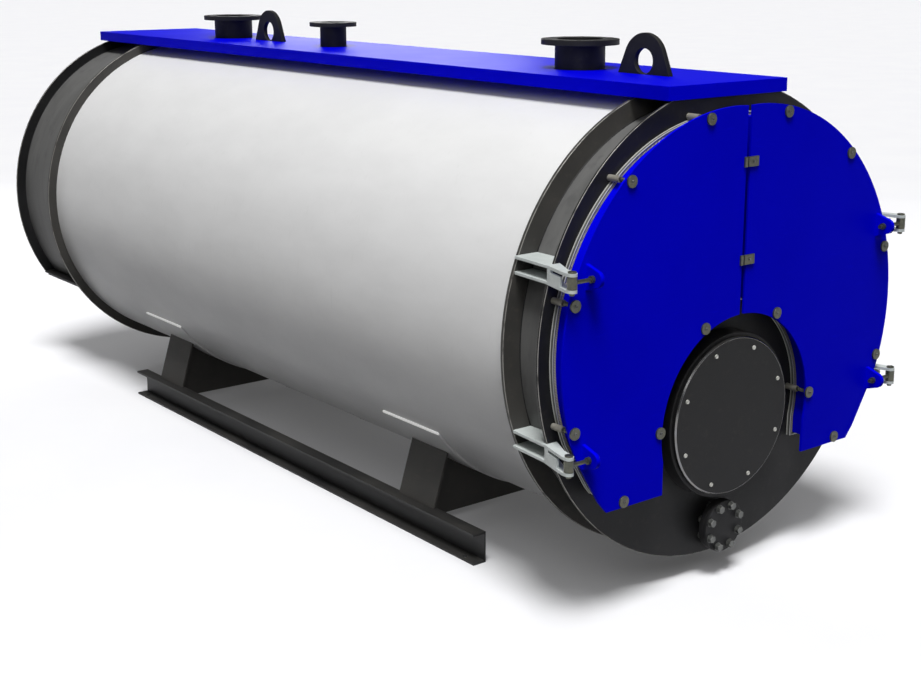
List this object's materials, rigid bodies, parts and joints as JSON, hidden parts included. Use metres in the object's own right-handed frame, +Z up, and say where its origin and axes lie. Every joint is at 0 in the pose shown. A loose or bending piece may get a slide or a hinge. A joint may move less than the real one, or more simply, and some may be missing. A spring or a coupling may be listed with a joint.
{
  "type": "industrial boiler",
  "caption": "Horizontal fire-tube boiler: clad drum on saddles and base channels, hinged smoke box doors round a covered burner opening, flanged nozzles and lifting lugs on top.",
  "frame": {"origin": "on the floor, in the middle of the rectangle of anchor holes in the two base channels", "axes": "+X to the right seen from the front, +Y to the back along the drum, +Z up; the doors face -Y"},
  "size_m": [1.9498, 5.2889, 2.216],
  "materials": {
    "blue_paint": "satin",
    "white_cladding": "semi-gloss",
    "charcoal_paint": "satin",
    "grey_paint": "satin",
    "heat_scaled_steel": "dull",
    "bare_steel": "mill finish",
    "light_grey_steel": "satin",
    "zinc_plate": "zinc plated",
    "hinge_grey": "satin"
  },
  "bodies": {
    "root": {"front_plate": "charcoal_paint", "front_smoke_box_shell": "grey_paint", "front_tube_plate": "charcoal_paint", "rear_tube_plate": "charcoal_paint", "furnace_throat": "heat_scaled_steel", "pressure_shell": "bare_steel", "cladding": "white_cladding", "top_cover": "blue_paint", "rear_smoke_box_shell": "grey_paint", "rear_plate": "charcoal_paint", "rear_box_floor": "charcoal_paint", "cleanout_cover": "charcoal_paint", "flue_outlet": "charcoal_paint", "nozzle_front": "charcoal_paint", "nozzle_middle": "charcoal_paint", "nozzle_rear": "charcoal_paint", "lifting_lugs": "charcoal_paint", "burner_ring": "charcoal_paint", "burner_cover": "charcoal_paint", "drain_flange": "charcoal_paint", "drain_blind_flange": "charcoal_paint", "seal_channels": "light_grey_steel", "clamp_sleeves": "zinc_plate", "hinge_arms": "hinge_grey", "hinge_brackets": "hinge_grey", "hinge_pins": "zinc_plate", "saddle_front": "charcoal_paint", "wear_pad_front": "white_cladding", "saddle_rear": "charcoal_paint", "wear_pad_rear": "white_cladding", "base_channel_right": "charcoal_paint", "base_channel_left": "charcoal_paint"},
    "door_right": {"door_right_face": "blue_paint", "door_right_body": "blue_paint", "door_right_clamp_bolts": "zinc_plate", "door_right_hinge_pads": "blue_paint", "door_right_hinge_eyes": "zinc_plate", "door_right_catches": "light_grey_steel"},
    "door_left": {"door_left_face": "blue_paint", "door_left_body": "blue_paint", "door_left_clamp_bolts": "zinc_plate", "door_left_hinge_pads": "blue_paint", "door_left_hinge_eyes": "zinc_plate", "door_left_catches": "light_grey_steel"}
  },
  "joints": [
    {"name": "door_right_hinge", "type": "hinge", "parent": "root", "child": "door_right", "pos_m": [0.955, -2.386, 1.068], "axis": [0, 0, 1], "range_deg": [0, 110]},
    {"name": "door_left_hinge", "type": "hinge", "parent": "root", "child": "door_left", "pos_m": [-0.955, -2.386, 1.068], "axis": [0, 0, -1], "range_deg": [0, 110]}
  ]
}
